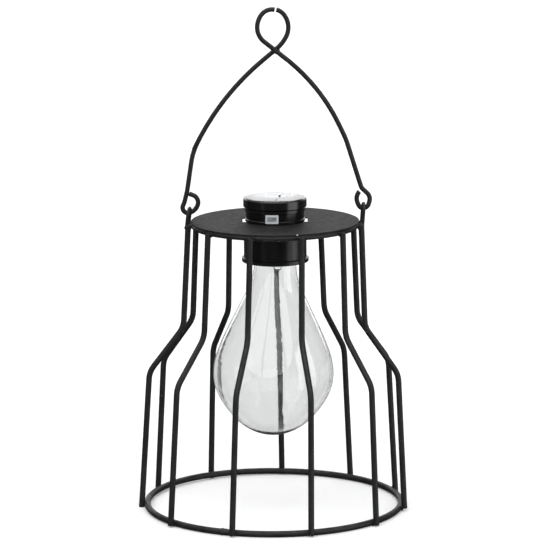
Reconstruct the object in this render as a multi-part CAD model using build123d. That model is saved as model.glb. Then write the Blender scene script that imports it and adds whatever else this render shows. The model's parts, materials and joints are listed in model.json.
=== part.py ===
from build123d import *
import math
import os

# Solar garden light: a cage of bent steel wires under a sheet-steel disc, with a clear bulb hanging
# inside it, a solar cap above the disc and a wire bail handle. Millimetres, +Z up. The origin is the
# centre of the base ring on the plane that the light stands on, and the switch faces -Y.

# ---- driving dimensions: cage ----
cage_wire = 3.75
base_wire = 4.0
top_wire = 3.2
weld_bite = 0.25
foot_radius = 85.0
shoulder_low = (79.85, 88.8)
shoulder_high = (58.05, 117.8)
head_radius = 55.1
head_height = 183.3
bend_radius = 15.6
wire_count = 11
first_wire_azimuth = 14.0
# how far each wire was welded off the even pitch, in degrees
hand_drift = (1.6, 2.1, -1.7, -0.5, -1.4, -1.2, -1.0, 0.0, -4.0, 1.5, 0.7)
# and how far each one leans round the axis, in degrees
wire_lean = (0.55, 0.33, 0.9, 1.08, 1.41, 0.92, 0.83, 0.83, 0.83, 0.14, 0.5)
# the foot of each wire ends this far above the plane that the light stands on
foot_trim = (1.8, 0.8, 1.8, 0.0, 0.0, 0.0, 0.0, 0.0, 0.0, 1.0, 1.8)
# the top of the cage stands this far to one side of the base's centre
top_shift = 1.7

# ---- driving dimensions: top disc ----
disc_radius = 53.3
disc_thickness = 0.8
disc_top = 185.25
disc_bottom = disc_top - disc_thickness
hole_radius = 17.2
notch_reach = 20.6
notch_sides = (-4.0, 11.7)

# ---- driving dimensions: handle and lugs ----
handle_wire = 3.0
lug_wire = 2.0
eye_play = 0.4
# the two handle wires lie side by side, each in its own plane
handle_plane = handle_wire / 2 - 0.05
left_eye_bottom = (-52.0, 190.5)
right_eye_bottom = (57.8, 193.3)
# the lugs were welded by hand, so the left one and the right one differ
left_lug_feet = (Vector(-54.6, -3.0, 0), Vector(-53.2, 5.8, 0))
left_lug_foot_height = 180.6
right_lug_feet = (Vector(57.0, -5.2, 0), Vector(56.2, 2.6, 0))
right_lug_foot_height = 181.4
weld_blob_radius = 1.6
weld_blob_inset = 0.7

# ---- driving dimensions: solar cap ----
cap_turn = -6.0
lock_turn = 60.0
running_gap = 0.3
cap_floor = disc_top + running_gap
rim_bottom = 194.9
cap_top = 200.3
rim_radius = 20.1
ridge_radius = 19.3
barrel_radius = 18.6
lip_radius = 18.9
neck_radius = 16.6
neck_bore = 15.1
neck_bottom = 165.2
barrel_bore = 17.0
window_radius = 19.1
window_thickness = 1.2
cell_thickness = 0.5

# ---- driving dimensions: collar and bulb ----
collar_radius = 19.9
collar_lip_radius = 21.2
collar_top = 181.9
collar_bottom = 159.4
collar_lip_height = 2.9
collar_bore = 16.9
collar_floor = 1.7
bulb_wall = 0.8
bulb_bottom = 1.0
bulb_neck_radius = 13.5
bulb_flange_radius = 16.4
bulb_flange = 1.5
bulb_tilt = 1.3
bulb_turn = 45.0
bulb_pin_height = 172.0

# ---- driving dimensions: inner pieces ----
led_radius = 2.5
led_tip = 153.0
led_length = 8.7
led_x = 1.6
battery_radius = 5.25
battery_length = 20.0
battery_height = 179.0
screw_radius = 1.0
screw_core_radius = 0.8
screw_reach = 10.4
screw_head_radius = 1.9
screw_head_height = 0.9

parts = {}


def rod(path, diameter):
    """A round wire along a path."""
    start = Plane(origin=path @ 0, z_dir=path % 0)
    return sweep(start * Circle(diameter / 2), path=path)


def turned(*points):
    """A solid of revolution about Z from a closed outline of (radius, height) points."""
    outline = Plane.XZ * make_face(Polyline(*points, close=True))
    return revolve(outline, Axis.Z)


def tube(outer, inner, low, high):
    return turned((inner, low), (outer, low), (outer, high), (inner, high))


def disk(radius, low, high):
    return Pos(0, 0, (low + high) / 2) * Cylinder(radius, high - low)


def block(x_range, y_range, z_range):
    """A box from its ranges along X, Y and Z."""
    size = [high - low for low, high in (x_range, y_range, z_range)]
    centre = [(low + high) / 2 for low, high in (x_range, y_range, z_range)]
    return Pos(*centre) * Box(*size)


def sector(inner, outer, low, high, start, span):
    """Part of a tube, from the angle start (degrees from +X) over span degrees."""
    section = Plane.XZ * make_face(Polyline((inner, low), (outer, low), (outer, high), (inner, high),
                                            close=True))
    return Rot(0, 0, start) * revolve(section, Axis.Z, span)


def group(shapes):
    """Separate solids that share one node."""
    return Compound([solid for shape in shapes for solid in shape.solids()])


def tangent_arcs(points, direction):
    """Arcs through the points, each leaving the last without a corner, from a first direction."""
    edges = []
    for near, far in zip(points[:-1], points[1:]):
        arc = TangentArc(near, far, tangent=direction)
        direction = arc % 1
        edges.append(arc)
    return edges


# ---- cage ----
base_ring_radius = foot_radius - cage_wire / 2 - base_wire / 2 + weld_bite
top_ring_radius = head_radius - cage_wire / 2 - top_wire / 2 + weld_bite
top_ring_height = disc_bottom - top_wire / 2
at_top = Pos(top_shift, 0, 0)
parts["base_ring"] = Pos(0, 0, base_wire / 2) * Torus(base_ring_radius, base_wire / 2)
parts["top_ring"] = at_top * Pos(0, 0, top_ring_height) * Torus(top_ring_radius, top_wire / 2)

disc = disk(disc_radius, disc_bottom, disc_top) - disk(hole_radius, disc_bottom - 1, disc_top + 1)
disc -= block((-notch_reach, notch_reach), notch_sides, (disc_bottom - 1, disc_top + 1))
parts["top_disc"] = at_top * disc


def cage_rod():
    """One bent cage wire with its foot on the origin, its bends in the XZ plane, before it is placed."""
    overrun = 2.0
    slope = (shoulder_low[0] - foot_radius) / shoulder_low[1]
    foot_end = (foot_radius - slope * overrun, -overrun)
    corners = [foot_end, shoulder_low, shoulder_high, (head_radius, head_height)]
    path = Plane.XZ * FilletPolyline(*[(r - foot_radius, z) for r, z in corners], radius=bend_radius)
    return rod(path, cage_wire)


# each wire is cut off level at the foot, and its top leans over with the top of the cage
cage_sway = math.degrees(math.atan2(top_shift, head_height))
cage_rod_shape = cage_rod()
for k in range(wire_count):
    azimuth = first_wire_azimuth + 360 / wire_count * k + hand_drift[k]
    turn = math.radians(azimuth)
    foot = Pos(foot_radius * math.sin(turn), -foot_radius * math.cos(turn), 0)
    wire = foot * Rot(0, cage_sway, 0) * Rot(0, 0, azimuth - 90) * Rot(-wire_lean[k], 0, 0) * cage_rod_shape
    below_foot = block((-100, 100), (-100, 100), (-10, foot_trim[k]))
    wire = wire - below_foot - parts["base_ring"] - parts["top_ring"]
    parts[f"cage_wire_{k + 1:02d}"] = wire


# ---- lugs: staples that stand at the rim, each with its two feet welded to the top ring ----
def lug(foot_a, foot_b, foot_height, apex):
    """An upside-down U of wire through its apex, with a weld blob round each foot."""
    middle = (foot_a + foot_b) / 2 + Vector(0, 0, foot_height)
    across = (foot_b - foot_a).normalized()
    rise = apex - middle
    up = (rise - across * rise.dot(across)).normalized()
    half = (foot_b - foot_a).length / 2
    shoulder = rise.length - half
    line = Line((-half, 0), (-half, shoulder))
    line += ThreePointArc((-half, shoulder), (0, shoulder + half), (half, shoulder))
    line += Line((half, shoulder), (half, 0))
    plane = Plane(origin=middle, x_dir=across, z_dir=across.cross(up))
    shape = rod(plane * line, lug_wire)
    for foot in (foot_a, foot_b):
        inward = Vector(top_shift - foot.X, -foot.Y, 0).normalized()
        centre = foot + inward * weld_blob_inset + Vector(0, 0, foot_height + weld_blob_radius)
        shape += Pos(centre) * Sphere(weld_blob_radius)
    return shape


lug_rise = handle_wire / 2 + lug_wire / 2 + eye_play
left_apex = Vector(left_eye_bottom[0] - 0.3, handle_plane, left_eye_bottom[1] + lug_rise)
right_apex = Vector(right_eye_bottom[0], -handle_plane, right_eye_bottom[1] + lug_rise)
lugs = {
    "lug_left": lug(*left_lug_feet, left_lug_foot_height, left_apex),
    "lug_right": lug(*right_lug_feet, right_lug_foot_height, right_apex),
}
for name, shape in lugs.items():
    shape = shape - parts["top_ring"] - parts["top_disc"]
    for k in range(wire_count):
        shape = shape - parts[f"cage_wire_{k + 1:02d}"]
    parts[name] = shape


# ---- handle: two flat bent wires that cross and are welded below the hanging loop ----
def handle(arm, bends, loop, eye):
    """A handle wire in the XZ plane: its arm, then its half of the loop and its open eye."""
    line = FilletPolyline(*arm, radius=bends)
    loop_edges = tangent_arcs([arm[0]] + loop, (line % 0) * -1)
    eye_edges = tangent_arcs([arm[-1]] + eye, line % 1)
    path = Wire(line.edges() + [edge for arc in loop_edges + eye_edges for edge in arc.edges()])
    return Plane.XZ * rod(path, handle_wire)


left_x, left_z = left_eye_bottom
right_x, right_z = right_eye_bottom
left_wire = handle(
    arm=[(2.7, 294.0), (-33.5, 264.1), (-50.0, 229.0), (-53.8, 204.2), (-55.2, 198.6)],
    bends=[165, 45, 20],
    loop=[(9.0, 301.4), (10.8, 308.6), (7.8, 316.4), (3.3, 319.2)],
    eye=[(left_x - 4.4, left_z + 4.8), (left_x, left_z), (left_x + 4.8, left_z + 4.9),
         (left_x + 1.5, left_z + 11.4), (left_x - 0.6, left_z + 12.3)])
right_wire = handle(
    arm=[(-4.4, 299.4), (11.4, 286.8), (31.8, 268.7), (46.6, 237.8), (56.4, 206.3), (60.0, 202.9)],
    bends=[40, 118, 60, 5],
    loop=[(-8.7, 308.9), (-6.0, 316.4), (2.3, 319.5)],
    eye=[(right_x + 3.8, right_z + 5.3), (right_x + 2.9, right_z + 2.0), (right_x, right_z),
         (right_x - 3.1, right_z + 1.7), (right_x - 4.3, right_z + 5.0), (right_x - 2.7, right_z + 10.6)])
parts["handle_wire_left"] = Pos(0, handle_plane, 0) * left_wire
parts["handle_wire_right"] = Pos(0, -handle_plane, 0) * right_wire - parts["handle_wire_left"]

# ---- solar cap: everything that turns with the cap, built facing -Y and then turned ----
cap_place = at_top * Rot(0, 0, cap_turn)

# housing: a neck through the disc, a seat on the disc and a barrel above it
lip_top = cap_floor + 1.5
ridge_bottom = 192.3
seat_bottom = 186.8
housing = turned(
    (neck_bore, neck_bottom), (neck_radius, neck_bottom), (neck_radius, cap_floor),
    (lip_radius, cap_floor), (lip_radius, lip_top), (barrel_radius, lip_top + 0.3),
    (barrel_radius, ridge_bottom - 0.5), (ridge_radius, ridge_bottom), (ridge_radius, rim_bottom - 0.8),
    (ridge_radius - 0.6, rim_bottom - 0.1), (barrel_bore, rim_bottom - 0.1), (barrel_bore, seat_bottom),
    (neck_bore, seat_bottom))
# two ears under the disc lock the cap to it, and two pins carry the collar
ear_reach = notch_reach - 0.7
ear_half = 3.5
ear_top = disc_bottom - running_gap
ear_thickness = 1.6
ear_angle = -lock_turn - cap_turn
pin_angles = (0, 180)
for half_turn in (0, 180):
    ear = block((neck_radius - 0.5, ear_reach), (-ear_half, ear_half), (ear_top - ear_thickness, ear_top))
    housing += Rot(0, 0, ear_angle + half_turn) * ear
pin_reach = collar_bore + 1.0
pin_half = 1.5
for angle in pin_angles:
    pin = block((neck_radius - 0.5, pin_reach), (-pin_half, pin_half),
                (bulb_pin_height - pin_half, bulb_pin_height + pin_half))
    housing += Rot(0, 0, angle) * pin
# the window in the barrel for the slide switch
switch_x = -1.95 + barrel_radius * math.sin(math.radians(-cap_turn))
frame_width = 8.2
frame_height = 5.5
frame_bottom = 186.45
frame_middle = frame_bottom + frame_height / 2
body_width = 6.8
body_height = 3.7
switch_hole_gap = 0.1
housing -= block((switch_x - body_width / 2 - switch_hole_gap, switch_x + body_width / 2 + switch_hole_gap),
                 (-barrel_radius - 2, -neck_bore + 2),
                 (frame_middle - body_height / 2 - switch_hole_gap,
                  frame_middle + body_height / 2 + switch_hole_gap))
# bosses for the base screws
boss_radius = 2.3
boss_height = 5.0
base_thickness = 1.5
base_top = neck_bottom + base_thickness
screw_angles = (35, 155, 275)
screw_spots = [(screw_reach * math.cos(math.radians(a)), screw_reach * math.sin(math.radians(a)))
               for a in screw_angles]
for angle in screw_angles:
    arm = block((screw_reach, neck_bore + 0.5), (-1.0, 1.0), (base_top, base_top + boss_height))
    housing += Rot(0, 0, angle) * arm
for x, y in screw_spots:
    housing += Pos(x, y, 0) * disk(boss_radius, base_top, base_top + boss_height)
for x, y in screw_spots:
    housing -= Pos(x, y, 0) * disk(screw_core_radius, base_top - 1, base_top + boss_height - 0.6)
parts["cap_housing"] = housing

# rim: the upper tier, with a skirt that presses into the barrel and a seat for the window
skirt_radius = barrel_bore - 0.02
skirt_bottom = 192.0
rim_bore = 15.6
window_bottom = cap_top - window_thickness
rim = turned(
    (rim_bore, skirt_bottom), (skirt_radius, skirt_bottom), (skirt_radius, rim_bottom),
    (rim_radius, rim_bottom), (rim_radius, cap_top - 0.6), (rim_radius - 0.6, cap_top),
    (window_radius, cap_top), (window_radius, window_bottom), (rim_bore, window_bottom))
cell_half = 12.6
cell_pocket = cell_half + 0.3
rim += disk(rim_bore + 0.2, window_bottom - cell_thickness - 1.4, window_bottom)
rim -= block((-cell_pocket, cell_pocket), (-cell_pocket, cell_pocket),
             (window_bottom - cell_thickness, window_bottom + 1))
lead_spots = [(-5.0, 6.0), (5.0, 6.0)]
lead_hole = 1.0
for x, y in lead_spots:
    rim -= Pos(x, y, 0) * disk(lead_hole, window_bottom - 4, window_bottom)
parts["cap_rim"] = rim

# window and the cell under it, in two strips with a narrow seam
parts["solar_window"] = disk(window_radius - 0.05, window_bottom, cap_top - 0.05)
seam_offset = 2.4
seam_half = 0.3
strips = [(-cell_half, seam_offset - seam_half), (seam_offset + seam_half, cell_half)]
cell_low = window_bottom - cell_thickness
parts["solar_cell"] = group([block(strip, (-cell_half, cell_half), (cell_low, window_bottom - 0.05))
                             for strip in strips])

# switch: a frame with a shaft in the barrel's window, and a slider in the frame
frame_face = -barrel_radius - 0.55
frame_back = -barrel_radius + 0.35
window_width = 5.9
window_height = 2.8
shaft_back = -14.0
frame = block((switch_x - frame_width / 2, switch_x + frame_width / 2), (frame_face, frame_back),
              (frame_bottom, frame_bottom + frame_height))
frame = fillet(frame.edges().filter_by(Axis.Y), 0.5)
frame += block((switch_x - body_width / 2, switch_x + body_width / 2), (frame_face + 0.3, shaft_back),
               (frame_middle - body_height / 2, frame_middle + body_height / 2))
slot_depth = 1.7
frame -= block((switch_x - window_width / 2, switch_x + window_width / 2),
               (frame_face - 1, frame_face + slot_depth),
               (frame_middle - window_height / 2, frame_middle + window_height / 2))
parts["switch_frame"] = frame - housing
slider_gap = 0.12
slider_width = 3.4
slider_travel = 2.2
slider_left = switch_x - window_width / 2 + slider_gap
slider_face = frame_face - 0.15
slider_half = window_height / 2 - slider_gap
slider = block((slider_left, slider_left + slider_width),
               (slider_face, frame_face + slot_depth - slider_gap),
               (frame_middle - slider_half, frame_middle + slider_half))
rib_pitch = 0.75
for step in (-1, 0, 1):
    groove_x = slider_left + slider_width / 2 + rib_pitch * step
    slider -= block((groove_x - 0.15, groove_x + 0.15), (slider_face - 1, slider_face + 0.25),
                    (frame_bottom, frame_bottom + frame_height))
parts["switch_slider"] = slider

# base of the neck, with the spigot that holds the LED, and its screws
led_spot = Pos(led_x, 0, 0)
led_hole = led_radius + 0.1
led_flange = led_radius + 0.4
led_shoulder = led_tip + led_length - 1.0
led_back = led_tip + led_length
spigot_radius = 4.2
spigot_bottom = led_shoulder - 2.6
base = disk(neck_bore - 0.05, neck_bottom, base_top)
base += led_spot * disk(spigot_radius, spigot_bottom, neck_bottom + 0.5)
base -= led_spot * disk(led_hole, spigot_bottom - 1, led_shoulder + 0.1)
base -= led_spot * disk(led_flange + 0.1, led_shoulder, base_top + 1)
screws = []
cross_reach = 1.0
cross_half = 0.2
for x, y in screw_spots:
    base -= Pos(x, y, 0) * disk(screw_radius + 0.1, neck_bottom - 1, base_top + 1)
    base -= Pos(x, y, 0) * disk(screw_head_radius + 0.1, neck_bottom - 1, neck_bottom + screw_head_height)
    screw = disk(screw_head_radius, neck_bottom + 0.1, neck_bottom + screw_head_height)
    screw += disk(screw_core_radius, neck_bottom + screw_head_height, base_top + boss_height - 0.8)
    for width, depth in ((cross_reach, cross_half), (cross_half, cross_reach)):
        screw -= block((-width, width), (-depth, depth), (neck_bottom - 1, neck_bottom + 0.5))
    screws.append(Pos(x, y, 0) * screw)
parts["housing_base"] = base
parts["base_screws"] = group(screws)

board_bottom = base_top + boss_height + 0.05
board_thickness = 1.2
board_top = board_bottom + board_thickness
board = disk(neck_bore - 0.3, board_bottom, board_top)
led_leg_spots = (led_x - 1.27, led_x + 1.27)
leg_half = 0.25
for x in led_leg_spots:
    board -= block((x - leg_half, x + leg_half), (-leg_half, leg_half), (board_bottom - 1, board_top + 1))
chip = block((-9.0, -5.0), (-8.5, -4.5), (board_top, board_top + 1.4))
coil = Pos(7.5, -6.5, 0) * disk(2.2, board_top, board_top + 3.0)
parts["circuit_board"] = board
parts["driver_chip"] = chip
parts["boost_coil"] = coil

led_body = disk(led_radius, led_tip + led_radius, led_shoulder)
led_body += disk(led_flange, led_shoulder, led_back)
led_body += Pos(0, 0, led_tip + led_radius) * Sphere(led_radius)
parts["led"] = led_spot * led_body
parts["led_legs"] = group([
    block((x - leg_half, x + leg_half), (-leg_half, leg_half), (led_back, board_top + 0.6))
    for x in led_leg_spots])

battery_half = battery_length / 2
nub_radius = 1.9
nub_length = 1.0
cell_case = Cylinder(battery_radius, battery_length) + Pos(0, 0, battery_half + nub_length / 2) * Cylinder(
    nub_radius, nub_length)
battery_spot = Pos(0, 1.5, battery_height)
plate_drop = board_top - battery_height
parts["battery"] = battery_spot * Rot(0, 90, 0) * cell_case
plate_thickness = 0.4
plate_x = battery_half + nub_length
plate = block((plate_x, plate_x + plate_thickness), (-3.0, 3.0), (plate_drop, 4.5))
parts["battery_plate"] = battery_spot * plate
spring_wire = 0.5
spring_pitch = 0.85
spring_coil = Helix(pitch=spring_pitch, height=spring_pitch * 2, radius=2.4)
spring_start = Plane(origin=spring_coil @ 0, z_dir=spring_coil % 0)
spring = sweep(spring_start * Circle(spring_wire / 2), path=spring_coil, is_frenet=True)
spring_space = spring_pitch * 2 + spring_wire
spring_seat = -battery_half - spring_space - plate_thickness
spring_base = block((spring_seat, spring_seat + plate_thickness), (-3.0, 3.0), (plate_drop, 3.5))
spring_turns = Pos(spring_seat + plate_thickness + spring_wire / 2, 0, 0) * Rot(0, 90, 0) * spring
parts["spring_plate"] = battery_spot * spring_base
parts["battery_spring"] = battery_spot * spring_turns

# two leads run from the cell down to the board, beside the battery
lead_wire = 1.1
lead_side = 9.5
lead_end = 4.0
lead_turn = 190.0


def cell_lead(x, y):
    """A lead from the cell's underside, stepping out round the battery and down to the board."""
    end_x = math.copysign(lead_end, x)
    corners = [(x, y, cell_low - 0.05), (x, y, lead_turn), (end_x, lead_side, lead_turn - 4.0),
               (end_x, lead_side, board_top)]
    return rod(FilletPolyline(*corners, radius=2.0), lead_wire)


parts["cell_leads"] = group([cell_lead(x, y) for x, y in lead_spots])

cap_names = ["cap_housing", "cap_rim", "solar_window", "solar_cell", "switch_frame", "switch_slider",
             "housing_base", "base_screws", "circuit_board", "driver_chip", "boost_coil", "led", "led_legs",
             "battery", "battery_plate", "spring_plate", "battery_spring", "cell_leads"]
for name in cap_names:
    parts[name] = cap_place * parts[name]

# ---- collar and bulb: they hang on the neck's two pins and turn to come off ----
collar_lip_top = collar_bottom + collar_lip_height
floor_top = collar_bottom + collar_floor
mouth_radius = bulb_neck_radius + 0.6
collar = turned(
    (mouth_radius, collar_bottom), (collar_lip_radius - 0.5, collar_bottom),
    (collar_lip_radius, collar_bottom + 0.5), (collar_lip_radius, collar_lip_top - 0.4),
    (collar_lip_radius - 0.4, collar_lip_top), (collar_radius, collar_lip_top),
    (collar_radius, collar_top - 0.6), (collar_radius - 0.6, collar_top), (collar_bore, collar_top),
    (collar_bore, floor_top), (mouth_radius, floor_top))
track_gap = 0.3
track_depth = pin_reach + track_gap
pin_swing = math.degrees(math.asin(pin_half / neck_radius)) + 1.5
track_low = bulb_pin_height - pin_half - track_gap
track_high = bulb_pin_height + pin_half + track_gap
for angle in pin_angles:
    # the pins enter from the top of the collar and then run round to the rest position
    track = sector(collar_bore - 0.5, track_depth, track_low, track_high, angle - pin_swing,
                   bulb_turn + 2 * pin_swing)
    entry = sector(collar_bore - 0.5, track_depth, track_low, collar_top + 1,
                   angle + bulb_turn - pin_swing, 2 * pin_swing)
    collar = collar - track - entry
parts["collar"] = cap_place * collar

# bulb: a thin shell with a flange that sits on the collar's floor
flange_bottom = floor_top + 0.4
flange_top = flange_bottom + bulb_flange
bulb_widest = (38.4, 88.8)
bulb_outline = [(20.7, 54.4), (30.1, 64.6), (36.5, 75.8), bulb_widest, (34.3, 105.1), (26.9, 121.4),
                (18.8, 137.9), (15.05, 147.0)]
bulb_tip = 46.8
bulb_neck_start = 156.0
# how strongly the side is held upright where it meets the neck
neck_ease = 0.3


def bulb_side(inset, lift):
    """The bulb's side from its tip to its neck, moved in by the wall, and up by the extra at its bottom."""
    ends = [(0, bulb_tip + inset + lift), (bulb_neck_radius - inset, bulb_neck_start)]
    middle = [(r - inset, z + lift * (1 - r / bulb_widest[0]) * (z < bulb_widest[1]))
              for r, z in bulb_outline]
    return Spline(ends[0], *middle, ends[1], tangents=[(1, 0), (0, 1)], tangent_scalars=[1.0, neck_ease])


outer = bulb_side(0, 0)
inner = bulb_side(bulb_wall, bulb_bottom - bulb_wall)
neck_inner = bulb_neck_radius - bulb_wall
bulb_face = Plane.XZ * make_face([
    outer,
    Polyline((bulb_neck_radius, bulb_neck_start), (bulb_neck_radius, flange_bottom),
             (bulb_flange_radius, flange_bottom), (bulb_flange_radius, flange_top),
             (neck_inner, flange_top), (neck_inner, bulb_neck_start)),
    inner,
    Line((0, bulb_tip + bulb_bottom), (0, bulb_tip))])
bulb = revolve(bulb_face, Axis.Z)
# the bulb hangs a little out of plumb, pivoting in its seat
bulb_seat = Pos(0, 0, flange_bottom)
bulb_unseat = Pos(0, 0, -flange_bottom)
parts["bulb"] = at_top * bulb_seat * Rot(0, bulb_tilt, 0) * bulb_unseat * bulb
parts["bulb_seal"] = at_top * tube(bulb_flange_radius - 0.2, neck_inner + 0.2, flange_top + 0.45,
                                   neck_bottom - 0.05)

os.makedirs("parts", exist_ok=True)
for name, shape in parts.items():
    export_step(shape, f"parts/{name}.step")

# the line that the handle swings about, through the bottoms of its two eyes
axis_run = Vector(right_x - left_x, -2 * handle_plane, right_z - left_z)
print("handle axis from", (left_x, handle_plane, left_z), "along", tuple(axis_run.normalized()))
print("slider travel", slider_travel)
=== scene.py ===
import json
import math
import random

import bmesh
import bpy
from mathutils import Matrix, Vector, kdtree, noise


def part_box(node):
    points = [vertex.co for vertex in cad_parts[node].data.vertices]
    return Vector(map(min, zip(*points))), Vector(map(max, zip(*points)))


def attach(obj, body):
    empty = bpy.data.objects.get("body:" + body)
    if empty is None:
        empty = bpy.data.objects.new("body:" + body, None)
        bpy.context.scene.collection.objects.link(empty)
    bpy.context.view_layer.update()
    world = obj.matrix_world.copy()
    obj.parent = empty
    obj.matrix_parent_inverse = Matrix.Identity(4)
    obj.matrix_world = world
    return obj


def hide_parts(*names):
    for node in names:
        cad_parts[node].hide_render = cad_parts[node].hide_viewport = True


# The looks of a solar garden light: a welded wire cage, a clear bulb, a solar cap and a bail handle.
# Metres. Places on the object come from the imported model's nodes, and each piece rides on the body that it
# is fixed to.
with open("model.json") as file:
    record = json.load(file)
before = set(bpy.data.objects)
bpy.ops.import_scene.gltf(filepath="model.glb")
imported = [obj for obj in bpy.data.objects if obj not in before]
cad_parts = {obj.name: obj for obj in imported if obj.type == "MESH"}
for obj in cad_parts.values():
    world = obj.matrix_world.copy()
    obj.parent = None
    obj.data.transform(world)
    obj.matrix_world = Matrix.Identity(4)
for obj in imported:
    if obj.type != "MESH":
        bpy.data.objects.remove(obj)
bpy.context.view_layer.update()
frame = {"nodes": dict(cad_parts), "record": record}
nodes = frame["nodes"]
mm = 0.001
right = Vector((1.0, 0.0, 0.0))
back = Vector((0.0, 1.0, 0.0))
up = Vector((0.0, 0.0, 1.0))


def middle(node):
    low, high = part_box(node)
    return (low + high) / 2


def span(node):
    low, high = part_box(node)
    return high - low


def points_of(node):
    return [vert.co for vert in nodes[node].data.vertices]


wire_names = sorted(name for name in nodes if name.startswith("cage_wire_"))
handle_names = ["handle_wire_left", "handle_wire_right"]
lug_names = ["lug_left", "lug_right"]
wire_radius = 1.875 * mm
handle_radius = span("handle_wire_left").y / 2
base_wire_radius = span("base_ring").z / 2
top_wire_radius = span("top_ring").z / 2
base_ring_radius = span("base_ring").x / 2 - base_wire_radius
disc_radius = span("top_disc").x / 2
window_radius = span("solar_window").x / 2
base_middle = middle("base_ring")
top_middle = middle("top_ring")
cap_axis = middle("top_disc")
floor_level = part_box("base_ring")[0].z
window_low, window_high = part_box("solar_window")

# The switch slides along its frame, and the frame faces straight out of the cap.
joints = frame["record"]["behaviour"]["joints"]
frame_slide = next(Vector(joint["axis"]) for joint in joints if joint["name"] == "switch_slide")
cap_turn = math.atan2(frame_slide.y, frame_slide.x)
switch_facing = Vector((frame_slide.y, -frame_slide.x, 0.0)).normalized()
switch_face = max(point.dot(switch_facing) for point in points_of("switch_frame"))


# ---------------------------------------------------------------- materials
def brighter(colour, factor, lift=0.0):
    """A colour scaled and lifted, and no lighter than white."""
    return tuple(min(1.0, channel * factor + lift) for channel in colour)


class Paint:
    """A node material built from the object's own coordinates, in metres."""

    def __init__(self, name):
        self.material = bpy.data.materials.new(name)
        self.material.use_nodes = True
        self.tree = self.material.node_tree
        self.shader = self.tree.nodes["Principled BSDF"]
        self.output = self.tree.nodes["Material Output"]
        self.place = self.add("ShaderNodeTexCoord").outputs["Object"]

    def add(self, kind, **settings):
        node = self.tree.nodes.new(kind)
        for name, value in settings.items():
            setattr(node, name, value)
        return node

    def link(self, source, target):
        self.tree.links.new(source, target)

    def set(self, **values):
        """Constants on the shader's own sockets."""
        for name, value in values.items():
            self.shader.inputs[name.replace("_", " ")].default_value = value

    def stretched(self, scale):
        """The coordinates scaled by a different amount along each axis."""
        mapping = self.add("ShaderNodeMapping")
        mapping.inputs["Scale"].default_value = scale
        self.link(self.place, mapping.inputs["Vector"])
        return mapping.outputs["Vector"]

    def noise(self, scale, detail=3.0, roughness=0.5, distortion=0.0, place=None):
        node = self.add("ShaderNodeTexNoise")
        self.link(place or self.place, node.inputs["Vector"])
        node.inputs["Scale"].default_value = scale
        node.inputs["Detail"].default_value = detail
        node.inputs["Roughness"].default_value = roughness
        node.inputs["Distortion"].default_value = distortion
        return node.outputs["Fac"]

    def cells(self, scale):
        node = self.add("ShaderNodeTexVoronoi", feature="F1")
        self.link(self.place, node.inputs["Vector"])
        node.inputs["Scale"].default_value = scale
        return node.outputs["Distance"]

    def remap(self, source, from_low, from_high, to_low=0.0, to_high=1.0):
        node = self.add("ShaderNodeMapRange")
        self.link(source, node.inputs["Value"])
        for name, value in (("From Min", from_low), ("From Max", from_high),
                            ("To Min", to_low), ("To Max", to_high)):
            node.inputs[name].default_value = value
        return node.outputs["Result"]

    def math(self, operation, first, second=0.0):
        node = self.add("ShaderNodeMath", operation=operation)
        for socket, value in zip(node.inputs, (first, second)):
            if isinstance(value, (int, float)):
                socket.default_value = value
            else:
                self.link(value, socket)
        return node.outputs["Value"]

    def along(self, direction):
        """How far a point lies along a direction."""
        node = self.add("ShaderNodeVectorMath", operation="DOT_PRODUCT")
        self.link(self.place, node.inputs[0])
        node.inputs[1].default_value = direction
        return node.outputs["Value"]

    def axis_value(self, vector, axis):
        node = self.add("ShaderNodeSeparateXYZ")
        self.link(vector, node.inputs["Vector"])
        return node.outputs[axis]

    def mix(self, factor, first, second):
        node = self.add("ShaderNodeMix", data_type="RGBA")
        self.link(factor, node.inputs["Factor"])
        for name, value in (("A", first), ("B", second)):
            socket = next(s for s in node.inputs if s.name == name and s.type == "RGBA")
            if isinstance(value, tuple):
                socket.default_value = (*value, 1.0)
            else:
                self.link(value, socket)
        return next(s for s in node.outputs if s.type == "RGBA")

    def mix_shaders(self, factor, first, second):
        node = self.add("ShaderNodeMixShader")
        self.link(factor, node.inputs["Fac"])
        self.link(first, node.inputs[1])
        self.link(second, node.inputs[2])
        return node.outputs["Shader"]

    def facing_up(self):
        """1 on surfaces that face up, where dust settles."""
        normal = self.add("ShaderNodeNewGeometry").outputs["Normal"]
        return self.remap(self.axis_value(normal, "Z"), 0.35, 0.95)

    def stripes(self, value, pitch, inside, outside):
        """1 along evenly spaced lines, fading from inside to outside, which are shares of the pitch."""
        turns = self.math("FRACT", self.math("DIVIDE", value, pitch))
        away = self.math("ABSOLUTE", self.math("SUBTRACT", turns, 0.5))
        return self.remap(away, inside, outside, 1.0, 0.0)

    def bump(self, *layers):
        """Layers of (height, depth in metres), the coarsest first."""
        last = None
        for height, depth in layers:
            node = self.add("ShaderNodeBump")
            node.inputs["Strength"].default_value = 1.0
            node.inputs["Distance"].default_value = depth
            self.link(height, node.inputs["Height"])
            if last is not None:
                self.link(last, node.inputs["Normal"])
            last = node.outputs["Normal"]
        self.link(last, self.shader.inputs["Normal"])

    def colour(self, source):
        self.link(source, self.shader.inputs["Base Color"])

    def roughness(self, source):
        self.link(source, self.shader.inputs["Roughness"])


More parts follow.
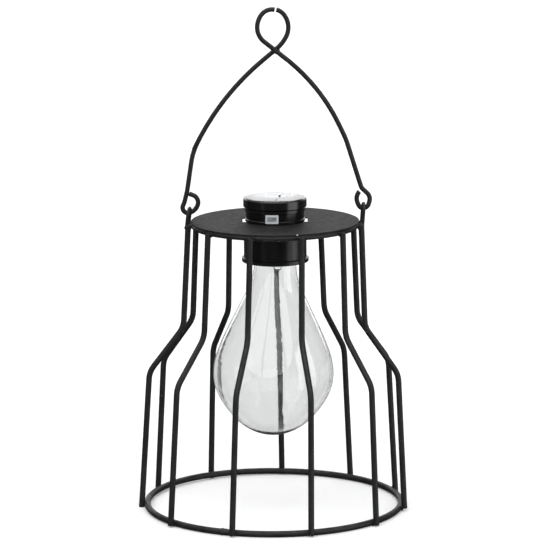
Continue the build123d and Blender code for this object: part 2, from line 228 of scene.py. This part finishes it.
def powder_coat(name, dark, light, shine=(0.42, 0.6), dust=0.12, level=0.4):
    """Black powder coat: an orange-peel skin, cloudy tone, a little dust on top and small pale chips."""
    paint = Paint(name)
    cloud = paint.noise(70.0, detail=5.0, roughness=0.6)
    tone = paint.mix(paint.remap(cloud, 0.35, 0.65), dark, light)
    grain = paint.noise(2600.0, detail=2.0)
    tone = paint.mix(paint.remap(grain, 0.58, 0.75, 0.0, 0.35), tone, brighter(light, 2.2))
    settled = paint.remap(paint.noise(190.0, detail=6.0), 0.4, 0.7, 0.0, dust)
    tone = paint.mix(paint.math("MULTIPLY", paint.facing_up(), settled), tone, (0.32, 0.31, 0.30))
    chips = paint.math("MULTIPLY", paint.remap(paint.noise(420.0, detail=3.0), 0.735, 0.765),
                       paint.remap(paint.noise(45.0), 0.5, 0.62, 0.0, 0.8))
    paint.colour(paint.mix(chips, tone, (0.20, 0.19, 0.18)))
    paint.roughness(paint.remap(paint.noise(330.0, detail=4.0), 0.3, 0.7, *shine))
    paint.set(Specular_IOR_Level=level)
    orange_peel = paint.noise(650.0, detail=2.0)
    paint.bump((orange_peel, 0.035 * mm), (paint.noise(3200.0, detail=2.0), 0.006 * mm))
    return paint.material


def moulded_plastic(name, colour, shine=(0.14, 0.24), level=0.5, texture=0.004, dust=0.0, behind=None):
    """Injection-moulded plastic: smooth, with faint flow lines, fine scratches and finger marks.

    behind is (colour, direction, edge): the colour of what lies less far along the direction than the edge;
    on the switch frame this is partly the switch's darker body and partly painted shade in its recessed slot.
    """
    paint = Paint(name)
    cloud = paint.noise(90.0, detail=4.0, distortion=0.6)
    tone = paint.mix(paint.remap(cloud, 0.35, 0.7), colour, brighter(colour, 1.25, 0.002))
    scratch = paint.noise(60.0, detail=8.0, roughness=0.75, place=paint.stretched((30.0, 30.0, 2.0)))
    tone = paint.mix(paint.remap(scratch, 0.62, 0.72, 0.0, 0.25), tone, brighter(colour, 1.8, 0.004))
    if dust:
        specks = paint.remap(paint.noise(900.0, detail=4.0), 0.6, 0.72, 0.0, dust)
        tone = paint.mix(paint.math("MULTIPLY", paint.facing_up(), specks), tone, (0.42, 0.41, 0.40))
    # Everything deeper than the edge takes the darker colour: partly a real darker body, partly painted shade
    # in the recess.
    if behind:
        rear_body_and_shade_colour, direction, edge = behind
        in_front = paint.remap(paint.along(direction), edge - 0.15 * mm, edge)
        tone = paint.mix(in_front, rear_body_and_shade_colour, tone)
    paint.colour(tone)
    paint.roughness(paint.remap(paint.noise(150.0, detail=6.0, roughness=0.7), 0.3, 0.7, *shine))
    paint.set(Specular_IOR_Level=level, IOR=1.49)
    paint.bump((paint.noise(55.0, detail=1.0), 0.06 * mm), (paint.noise(2400.0, detail=3.0), texture * mm))
    return paint.material


def clear_plastic(name, tint, haze, shine, wave):
    """Clear plastic that lets lamps through: a faint haze, flow waves and finger marks."""
    paint = Paint(name)
    paint.set(Transmission_Weight=1.0, IOR=1.47)
    marks = paint.noise(40.0, detail=5.0, roughness=0.6)
    paint.colour(paint.mix(paint.remap(marks, 0.3, 0.7), tint, brighter(tint, 0.985)))
    paint.roughness(paint.remap(paint.noise(120.0, detail=5.0), 0.35, 0.7, *shine))
    paint.bump((paint.noise(38.0, detail=1.0, place=paint.stretched((1.0, 1.0, 0.45))), wave * mm))
    film = paint.add("ShaderNodeBsdfDiffuse")
    film.inputs["Color"].default_value = (0.86, 0.87, 0.86, 1.0)
    haziness = paint.remap(paint.noise(26.0, detail=3.0), 0.3, 0.7, haze * 0.8, haze * 1.2)
    milky = paint.mix_shaders(haziness, paint.shader.outputs["BSDF"], film.outputs["BSDF"])
    through = paint.add("ShaderNodeBsdfTransparent")
    through.inputs["Color"].default_value = (0.9, 0.91, 0.9, 1.0)
    in_shadow = paint.add("ShaderNodeLightPath").outputs["Is Shadow Ray"]
    surface = paint.mix_shaders(in_shadow, milky, through.outputs["BSDF"])
    paint.link(surface, paint.output.inputs["Surface"])
    return paint.material


def metal(name, colour, shine=(0.25, 0.4), brushed=(1.0, 1.0, 1.0)):
    """Plated or bare metal with fine drawing lines and slight tarnish."""
    paint = Paint(name)
    paint.set(Metallic=1.0)
    lines = paint.noise(900.0, detail=4.0, place=paint.stretched(brushed))
    tarnish = paint.remap(paint.noise(240.0, detail=5.0), 0.4, 0.75, 0.0, 0.5)
    paint.colour(paint.mix(tarnish, colour, brighter(colour, 0.6)))
    paint.roughness(paint.remap(lines, 0.3, 0.7, *shine))
    paint.bump((lines, 0.004 * mm))
    return paint.material


def solar_cell_paint(name):
    """Dark blue silicon with fine silver fingers along X and two wider bars along Y."""
    paint = Paint(name)
    finger_pitch = 1.6 * mm
    bar_pitch = 8.4 * mm
    crystal = paint.remap(paint.cells(420.0), 0.0, 1.0)
    silicon = paint.mix(crystal, (0.010, 0.016, 0.050), (0.025, 0.040, 0.105))
    fingers = paint.stripes(paint.axis_value(paint.place, "Y"), finger_pitch, 0.045, 0.075)
    bars = paint.stripes(paint.axis_value(paint.place, "X"), bar_pitch, 0.035, 0.05)
    silver = paint.math("MAXIMUM", fingers, bars)
    paint.colour(paint.mix(silver, silicon, (0.55, 0.56, 0.58)))
    paint.roughness(paint.remap(silver, 0.0, 1.0, 0.22, 0.4))
    paint.bump((silver, 0.01 * mm), (paint.noise(1500.0), 0.003 * mm))
    return paint.material


def board_paint(name):
    """Green lacquer over copper tracks, which wander a little."""
    paint = Paint(name)
    bend = paint.remap(paint.noise(110.0, detail=0.0), 0.35, 0.65, -1.5 * mm, 1.5 * mm)

    def tracks_across(axis, pitch, start, end):
        place = paint.math("ADD", paint.axis_value(paint.place, axis), bend)
        return paint.remap(paint.math("FRACT", paint.math("DIVIDE", place, pitch)), start, end)

    tracks = paint.math("MAXIMUM", tracks_across("X", 2.1 * mm, 0.74, 0.78),
                        tracks_across("Y", 3.3 * mm, 0.82, 0.85))
    paint.colour(paint.mix(tracks, (0.012, 0.095, 0.035), (0.030, 0.190, 0.070)))
    paint.roughness(paint.remap(paint.noise(700.0, detail=4.0), 0.3, 0.7, 0.3, 0.45))
    paint.bump((tracks, 0.02 * mm), (paint.noise(2000.0), 0.004 * mm))
    return paint.material


def rubber(name, colour):
    """Matt rubber with a fine grain."""
    paint = Paint(name)
    cloud = paint.remap(paint.noise(500.0, detail=5.0), 0.35, 0.7)
    paint.colour(paint.mix(cloud, colour, brighter(colour, 1.8)))
    paint.roughness(paint.remap(paint.noise(800.0), 0.3, 0.7, 0.65, 0.85))
    paint.bump((paint.noise(1800.0, detail=3.0), 0.02 * mm))
    return paint.material


def led_lens(name):
    """Clear epoxy over a bright cup."""
    paint = Paint(name)
    paint.set(Transmission_Weight=1.0, IOR=1.52)
    cloud = paint.remap(paint.noise(400.0), 0.3, 0.7)
    paint.colour(paint.mix(cloud, (0.97, 0.98, 0.95), (0.93, 0.95, 0.90)))
    paint.roughness(paint.remap(paint.noise(900.0), 0.3, 0.7, 0.03, 0.09))
    paint.bump((paint.noise(700.0), 0.005 * mm))
    return paint.material


cage_paint = powder_coat("cage_powder_coat", (0.0065, 0.0065, 0.007), (0.013, 0.013, 0.0135), level=0.3)
handle_paint = powder_coat("handle_powder_coat", (0.007, 0.007, 0.0075), (0.014, 0.014, 0.0145),
                           shine=(0.4, 0.55), level=0.3)
disc_paint = powder_coat("disc_powder_coat", (0.0115, 0.0115, 0.012), (0.0145, 0.0145, 0.015),
                         shine=(0.6, 0.75), dust=0.03, level=0.16)
cap_plastic = moulded_plastic("cap_plastic", (0.0022, 0.0022, 0.0024), shine=(0.16, 0.24), texture=0.0012,
                              dust=0.05)
collar_plastic = moulded_plastic("collar_plastic", (0.0025, 0.0025, 0.0027), shine=(0.24, 0.34), level=0.36,
                                 texture=0.0015)
base_plastic = moulded_plastic("base_plastic", (0.012, 0.012, 0.012), shine=(0.35, 0.5), texture=0.01)
# The switch frame is pale on its face and grey from 0.9 mm behind it: partly the switch's darker body, partly
# painted shade in the recessed slot.
switch_plastic = moulded_plastic("switch_plastic", (0.56, 0.58, 0.585), shine=(0.35, 0.5),
                                 behind=((0.36, 0.39, 0.40), switch_facing, switch_face - 0.9 * mm))
slider_plastic = moulded_plastic("slider_plastic", (0.27, 0.305, 0.315), shine=(0.4, 0.55))
window_plastic = clear_plastic("window_plastic", (0.96, 0.97, 0.97), haze=0.045, shine=(0.07, 0.12),
                               wave=0.02)
bulb_plastic = clear_plastic("bulb_plastic", (0.818, 0.824, 0.820), haze=0.004, shine=(0.015, 0.04),
                             wave=0.05)
cell_paint = solar_cell_paint("solar_silicon")
board_lacquer = board_paint("board_lacquer")
chip_epoxy = moulded_plastic("chip_epoxy", (0.02, 0.02, 0.022), shine=(0.5, 0.65), texture=0.02)
ferrite = moulded_plastic("coil_ferrite", (0.07, 0.065, 0.06), shine=(0.5, 0.7), texture=0.03)
battery_sleeve = moulded_plastic("battery_sleeve", (0.05, 0.24, 0.08), shine=(0.12, 0.25))
lead_insulation = moulded_plastic("lead_insulation", (0.28, 0.018, 0.018), shine=(0.35, 0.5))
led_epoxy = led_lens("led_epoxy")
bare_steel = metal("bare_steel", (0.80, 0.80, 0.80), shine=(0.3, 0.45))
zinc = metal("screw_zinc", (0.62, 0.62, 0.64))
tin = metal("tinned_wire", (0.72, 0.72, 0.72), brushed=(1.0, 1.0, 0.1))
nickel = metal("contact_nickel", (0.66, 0.64, 0.60), shine=(0.2, 0.35), brushed=(0.15, 1.0, 1.0))
seal_rubber = rubber("seal_rubber", (0.02, 0.02, 0.02))

node_paint = {
    "base_ring": cage_paint, "top_ring": cage_paint, "top_disc": disc_paint,
    "cap_housing": cap_plastic, "cap_rim": cap_plastic, "solar_window": window_plastic,
    "solar_cell": cell_paint, "switch_frame": switch_plastic, "switch_slider": slider_plastic,
    "housing_base": base_plastic, "base_screws": zinc, "circuit_board": board_lacquer,
    "driver_chip": chip_epoxy, "boost_coil": ferrite, "led": led_epoxy, "led_legs": tin,
    "battery": battery_sleeve, "battery_plate": nickel, "spring_plate": nickel, "battery_spring": nickel,
    "cell_leads": lead_insulation, "collar": collar_plastic, "bulb": bulb_plastic, "bulb_seal": seal_rubber,
    **{name: cage_paint for name in wire_names + lug_names},
    **{name: handle_paint for name in handle_names},
}
for name, paint in node_paint.items():
    nodes[name].material_slots[0].material = paint


# ---------------------------------------------------------------- mesh helpers
def placed(name, data):
    """Adds an object to the scene."""
    thing = bpy.data.objects.new(name, data)
    bpy.context.scene.collection.objects.link(thing)
    return thing


def fixed(name, body, paint, slot, build, *details):
    """Adds a piece that rides on a body, with the mesh that build(form, *details) makes."""
    form = bmesh.new()
    build(form, *details)
    bmesh.ops.recalc_face_normals(form, faces=form.faces)
    mesh = bpy.data.meshes.new(name)
    form.to_mesh(mesh)
    form.free()
    mesh.materials.append(paint)
    mesh.shade_smooth()
    piece = placed(name, mesh)
    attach(piece, body)
    return piece


def round_trip(steps):
    """Evenly spaced angles once round a circle."""
    return [2 * math.pi * step / steps for step in range(steps)]


def box_middle(points):
    """The middle of the box round some points."""
    low = Vector([min(point[axis] for point in points) for axis in range(3)])
    high = Vector([max(point[axis] for point in points) for axis in range(3)])
    return (low + high) / 2


def bead(form, centre, along, upward, size, seed, lumpiness):
    """Adds one lumpy bead: size is half its length along, half its width and half its height."""
    ball = bmesh.ops.create_icosphere(form, subdivisions=3, radius=1.0)["verts"]
    side = along.cross(upward).normalized()
    turn = Matrix((along, side, upward)).transposed()
    for vert in ball:
        lump = noise.noise(vert.co * 1.9 + Vector((seed * 7.1, seed * 3.3, seed))) * lumpiness
        point = vert.co * (1.0 + lump)
        vert.co = centre + turn @ Vector((point.x * size[0], point.y * size[1], point.z * size[2]))


def keep_above_floor(form):
    """Flattens whatever would reach below the plane that the light stands on."""
    for vert in form.verts:
        vert.co.z = max(vert.co.z, floor_level)


def lathe(form, centre, outline, steps=160):
    """Adds a closed turned form from (radius, height) points that start and end on its upright axis."""
    low = form.verts.new(centre + up * outline[0][1])
    high = form.verts.new(centre + up * outline[-1][1])
    turns = round_trip(steps)
    rows = []
    for radius, height in outline[1:-1]:
        ring = [Vector((radius * math.cos(turn), radius * math.sin(turn), height)) for turn in turns]
        rows.append([form.verts.new(centre + point) for point in ring])
    for k in range(steps):
        following = (k + 1) % steps
        form.faces.new((low, rows[0][following], rows[0][k]))
        form.faces.new((high, rows[-1][k], rows[-1][following]))
        for row, upper in zip(rows, rows[1:]):
            form.faces.new((row[k], row[following], upper[following], upper[k]))


# ---------------------------------------------------------------- welds
dice = random.Random(11)
seed_range = (0.0, 9.0)


def wire_end(name, sign, depth):
    """The middle of a wire's foot (sign -1) or head (sign 1), from what lies within a depth of its tip."""
    points = points_of(name)
    tip = max(sign * point.z for point in points)
    return box_middle([point for point in points if sign * point.z > tip - depth])


def joint_welds(form, wire_spot, ring_centre, ring_height, ring_wire, bulk):
    """The beads that fill the two grooves between a wire and the ring that it crosses."""
    out = Vector((wire_spot.x - ring_centre.x, wire_spot.y - ring_centre.y, 0.0)).normalized()
    along = up.cross(out)
    overlap = 0.1 * mm
    stand_out = 0.25 * mm
    touch = Vector((wire_spot.x, wire_spot.y, ring_height)) - out * (wire_radius - overlap)
    for side in (-1, 1):
        for height_share in (-0.42, 0.42):
            reach = side * wire_radius * dice.uniform(0.62, 0.86)
            spot = touch + along * reach + up * ring_wire * height_share * dice.uniform(0.6, 1.3)
            size = [dice.uniform(*limits) * bulk * mm for limits in ((0.75, 1.15), (0.5, 0.75), (0.7, 1.0))]
            seed = dice.uniform(*seed_range)
            bead(form, spot + out * stand_out, along, up, size, seed, lumpiness=0.22)
    keep_above_floor(form)


for name in wire_names:
    number = name.rsplit("_", 1)[1]
    foot = wire_end(name, -1, 0.2 * mm)
    head = wire_end(name, 1, 0.4 * mm)
    fixed("weld_low_" + number, "cage", cage_paint, "cage_steel",
          joint_welds, foot, base_middle, base_middle.z, base_wire_radius, 1.0)
    fixed("weld_high_" + number, "cage", cage_paint, "cage_steel",
          joint_welds, head, top_middle, top_middle.z - 0.3 * mm, top_wire_radius, 1.15)


def lug_welds(form, node):
    """A lumpy collar of weld round each foot of a lug."""
    foot_height = 3.0 * mm
    spread = 0.7 * mm
    points = points_of(node)
    lowest = min(point.z for point in points)
    feet = [point for point in points if point.z < lowest + foot_height]
    halfway = (min(point.y for point in feet) + max(point.y for point in feet)) / 2
    front_foot = [point for point in feet if point.y < halfway]
    back_foot = [point for point in feet if point.y >= halfway]
    for foot in (front_foot, back_foot):
        spot = box_middle(foot)
        for _ in range(4):
            turn = dice.uniform(0.0, 2 * math.pi)
            drift = Vector((math.cos(turn), math.sin(turn), dice.uniform(-0.9, 0.9))) * spread
            size = [dice.uniform(0.9, 1.35) * mm for _ in range(3)]
            seed = dice.uniform(*seed_range)
            bead(form, spot + drift, right, up, size, seed, lumpiness=0.2)


for name in lug_names:
    fixed("weld_" + name, "cage", cage_paint, "cage_steel", lug_welds, name)


def crossing_weld(form):
    """The beads in the grooves where the two handle wires lie across each other."""
    left = points_of("handle_wire_left")
    tree = kdtree.KDTree(len(left))
    for index, point in enumerate(left):
        tree.insert(point, index)
    tree.balance()
    touching = 0.03 * mm
    spot = box_middle([point for point in points_of("handle_wire_right") if tree.find(point)[2] < touching])
    for degrees, bulk in ((90, 0.8), (-90, 0.7), (2, 0.8), (180, 0.75)):
        turn = math.radians(degrees)
        way = Vector((math.cos(turn), 0.0, math.sin(turn)))
        size = [share * bulk * mm for share in (1.3, 0.9, 1.0)]
        bead(form, spot + way * handle_radius * 1.05, way, back, size, seed=degrees * 0.1, lumpiness=0.2)


fixed("weld_handle", "handle", handle_paint, "handle_steel", crossing_weld)


# ---------------------------------------------------------------- the base ring as it was bent and welded
def warped_ring(form):
    """The base ring, a little high at one place at the back, with its butt weld at the front."""
    lift = 0.9 * mm
    lift_turn = math.radians(140.0)
    weld_turn = math.radians(-113.0)
    weld_half = 2.2 * mm / base_ring_radius
    weld_height = 0.35 * mm
    weld_ripple = 0.4
    ripple_count = 180
    steps = 720
    around = 20
    rows = []
    for turn in round_trip(steps):
        out = Vector((math.cos(turn), math.sin(turn), 0.0))
        rise = lift * max(0.0, math.cos(turn - lift_turn)) ** 2
        spot = base_middle + out * base_ring_radius + up * rise
        away = abs((turn - weld_turn + math.pi) % (2 * math.pi) - math.pi) / weld_half
        weld = weld_height * math.exp(-away * away) * (1.0 + weld_ripple * math.sin(turn * ripple_count))
        rows.append([form.verts.new(spot + (base_wire_radius + weld) * (out * math.cos(a) + up * math.sin(a)))
                     for a in round_trip(around)])
    for row, following in zip(rows, rows[1:] + rows[:1]):
        for k in range(around):
            form.faces.new((row[k], following[k], following[(k + 1) % around], row[(k + 1) % around]))
    keep_above_floor(form)


warped = fixed("base_ring_bent", "cage", cage_paint, "cage_steel", warped_ring)
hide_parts("base_ring")


# ---------------------------------------------------------------- a bright burr on the disc's front edge
def rim_burr(form):
    """A burr of bare steel, where the paint has come off the disc's edge."""
    aside = 13.6 * mm
    forward = math.sqrt(disc_radius ** 2 - aside ** 2)
    spot = Vector((cap_axis.x + aside, cap_axis.y - forward, cap_axis.z + 0.1 * mm))
    bead(form, spot, right, up, (0.65 * mm, 0.35 * mm, 0.4 * mm), seed=5.0, lumpiness=0.1)


fixed("rim_burr", "cage", bare_steel, "disc_paint", rim_burr)

# ---------------------------------------------------------------- the window and the marks on it
shoulder_width = 1.3 * mm
shoulder_height = 0.45 * mm
dome_height = 0.45 * mm


def on_window(x, y):
    """A place on the window's top, from the cap's own left-right and front-back offsets."""
    turned_x = x * math.cos(cap_turn) - y * math.sin(cap_turn)
    turned_y = x * math.sin(cap_turn) + y * math.cos(cap_turn)
    away = math.hypot(x, y) / window_radius
    rise = shoulder_height + dome_height * (1.0 - away * away)
    return Vector((cap_axis.x + turned_x, cap_axis.y + turned_y, window_high.z + rise))


def domed_window(form):
    """The window's clear plate: a rounded shoulder just above the rim, and a slight dome."""
    corner = 0.2 * mm
    outline = [(0.0, window_low.z), (window_radius - corner, window_low.z),
               (window_radius, window_low.z + corner)]
    shoulder_steps = 8
    for step in range(shoulder_steps + 1):
        turn = math.pi / 2 * step / shoulder_steps
        outline.append((window_radius - shoulder_width * (1.0 - math.cos(turn)),
                        window_high.z + shoulder_height * math.sin(turn)))
    dome_radius = window_radius - shoulder_width
    dome_steps = 12
    for step in range(1, dome_steps + 1):
        share = 1.0 - step / dome_steps
        rise = shoulder_height + dome_height * (1.0 - share * share)
        outline.append((dome_radius * share, window_high.z + rise))
    lathe(form, Vector((cap_axis.x, cap_axis.y, 0.0)), outline)


def seam_shade_strip(form):
    """A fine dark strip on the window, from its front edge inwards: its left side stands up. Its dark colour
    is painted shade, standing in for the shade in a seam groove.
    """
    seam_x = 2.4 * mm
    seam_start = -18.6 * mm
    seam_length = 8.4 * mm
    half_width = 0.25 * mm
    height = 0.2 * mm
    root = 0.05 * mm
    steps = 14
    side = on_window(1.0, 0.0) - on_window(0.0, 0.0)
    rows = []
    for step in range(steps):
        share = step / (steps - 1)
        wander = 0.12 * mm * noise.noise(Vector((share * 5.0, 2.0, 0.0)))
        spot = on_window(seam_x + wander, seam_start + seam_length * share)
        half = half_width * (1.0 - 0.5 * share)
        rows.append([form.verts.new(spot + offset)
                     for offset in (-side * half, up * height, side * half, -up * root)])
    for row, following in zip(rows, rows[1:]):
        for k in range(4):
            form.faces.new((row[k], row[(k + 1) % 4], following[(k + 1) % 4], following[k]))
    form.faces.new(rows[0])
    form.faces.new(rows[-1])


def dark_spot(form):
    """A small dark blob near the middle of the window."""
    spot = on_window(3.0 * mm, -1.0 * mm)
    bead(form, spot, right, up, (0.9 * mm, 1.2 * mm, 0.75 * mm), seed=3.0, lumpiness=0.1)


dome = fixed("window_dome", "solar_cap", window_plastic, "window_plastic", domed_window)
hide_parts("solar_window")
# The seam strip's dark rubber colour is painted shade where the window has a seam groove.
fixed("window_seam", "solar_cap", seal_rubber, "cap_plastic", seam_shade_strip)
fixed("window_spot", "solar_cap", seal_rubber, "cap_plastic", dark_spot)

# ---------------------------------------------------------------- the camera
camera_spot = Vector((0.0, -2256.3 * mm, 576.6 * mm))
camera_aim = Vector((1.454 * mm, 0.0, 150.25 * mm))
camera_roll = math.radians(-0.369)
camera_data = bpy.data.cameras.new("camera")
camera_data.sensor_width = 36.0
camera_data.lens = 236.7
camera_data.clip_start = 0.05
camera_data.clip_end = 60.0
camera = placed("camera", camera_data)
look = (camera_aim - camera_spot).to_track_quat("-Z", "Y").to_matrix().to_4x4()
camera.matrix_world = Matrix.Translation(camera_spot) @ look @ Matrix.Rotation(camera_roll, 4, "Z")
bpy.context.scene.camera = camera


# ---------------------------------------------------------------- the studio
def panel(name, place, aim, width, height, radiance, colour=(1.0, 1.0, 1.0)):
    """A soft rectangular lamp of a given radiance, which the camera doesn't see."""
    data = bpy.data.lights.new(name, "AREA")
    data.shape = "RECTANGLE"
    data.size = width
    data.size_y = height
    data.color = colour
    data.energy = radiance * math.pi * width * height
    lamp = placed(name, data)
    lamp.location = place
    lamp.rotation_mode = "QUATERNION"
    lamp.rotation_quaternion = (aim - place).to_track_quat("-Z", "Y")
    lamp.visible_camera = False


def at_azimuth(azimuth, distance, height):
    """A place round the object: azimuth 0 is in front of it and 90 on its right."""
    turn = math.radians(azimuth)
    return Vector((distance * math.sin(turn), -distance * math.cos(turn), height))


heart = Vector((0.0, 0.0, 0.18))
panel("key_panel", at_azimuth(68, 1.1, 0.15), heart, 0.78, 1.1, 2.3, (1.0, 0.99, 0.97))
panel("left_strip", at_azimuth(-45, 1.3, 0.15), heart, 0.2, 1.1, 0.35, (0.86, 0.9, 1.0))
panel("top_panel", Vector((-0.1, 0.2, 1.5)), heart, 2.3, 2.3, 0.6)
panel("back_panel", Vector((0.0, 4.2, 1.4)), Vector((0.0, 0.0, 0.2)), 6.6, 2.8, 1.7)

sun_data = bpy.data.lights.new("soft_sun", "SUN")
sun_data.energy = 2.6
sun_data.angle = math.radians(95)
sun = placed("soft_sun", sun_data)
sun.rotation_euler = (math.radians(38), math.radians(-10), 0.0)

world = bpy.data.worlds.new("studio")
world.use_nodes = True
surroundings = world.node_tree.nodes["Background"]
surroundings.inputs["Color"].default_value = (0.95, 0.97, 1.0, 1.0)
surroundings.inputs["Strength"].default_value = 0.10
bpy.context.scene.world = world
bpy.context.scene.view_settings.view_transform = "Standard"
bpy.context.scene.view_settings.look = "None"


def studio_paper(name, first, second, patch_scale, level, glow):
    """Matt paper with a faint, cloudy tone and a glow of its own."""
    paint = Paint(name)
    paint.colour(paint.mix(paint.noise(patch_scale), (first,) * 3, (second,) * 3))
    paint.set(Roughness=0.9, Specular_IOR_Level=level, Emission_Color=(1.0, 1.0, 1.0, 1.0),
              Emission_Strength=glow)
    return paint.material


def studio_surface(name, paper, height, create, **shape):
    """Adds a part of the studio, made by one of the bmesh.ops functions, at a height."""
    form = bmesh.new()
    create(form, segments=96, **shape)
    mesh = bpy.data.meshes.new(name)
    form.to_mesh(mesh)
    form.free()
    mesh.materials.append(paper)
    surface = placed(name, mesh)
    surface.location.z = height
    surface.visible_glossy = False
    return surface


floor_radius = 7.0
floor_gap = 0.05 * mm
floor_paper = studio_paper("floor_paper", 0.93, 0.95, 3.0, 0.1, 0.12)
floor = studio_surface("floor", floor_paper, floor_level - floor_gap,
                       bmesh.ops.create_circle, cap_ends=True, radius=floor_radius)

# A pale wall just inside the floor's edge, seen only directly, closes the view from low down.
wall_radius = 6.9
wall_depth = 8.0
wall_sink = 0.1
wall_paper = studio_paper("wall_paper", 0.02, 0.03, 1.0, 0.0, 0.86)
wall = studio_surface("wall", wall_paper, floor_level + wall_depth / 2 - wall_sink,
                      bmesh.ops.create_cone, cap_ends=False, radius1=wall_radius, radius2=wall_radius,
                      depth=wall_depth)
wall.visible_diffuse = False
wall.visible_transmission = False
wall.visible_shadow = False
